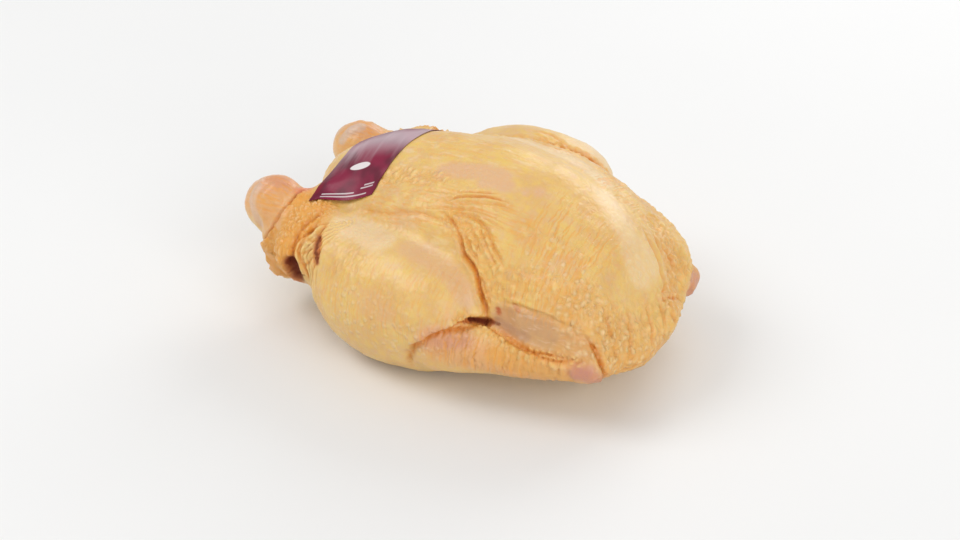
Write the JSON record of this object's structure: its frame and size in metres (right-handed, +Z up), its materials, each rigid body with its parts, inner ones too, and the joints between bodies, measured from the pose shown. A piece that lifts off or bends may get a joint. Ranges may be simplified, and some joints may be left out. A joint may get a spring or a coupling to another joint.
{
  "type": "whole raw chicken",
  "caption": "Whole raw corn-fed chicken lying on its back with its legs tucked through straps of skin, and a printed film label laid across its belly.",
  "frame": {"origin": "on the surface that the bird lies on, under the middle of its bounding box", "axes": "+X along the bird towards its neck, -X towards its hocks and tail, +Z up through the breastbone, +Y towards the bird's far side as pictured"},
  "size_m": [0.264, 0.1922, 0.1151],
  "materials": {
    "skin": "moist yellow poultry skin, glossy and a little translucent",
    "label": "glossy printed film, burgundy"
  },
  "bodies": {
    "root": {"chicken": "skin", "label": "label"}
  },
  "joints": []
}
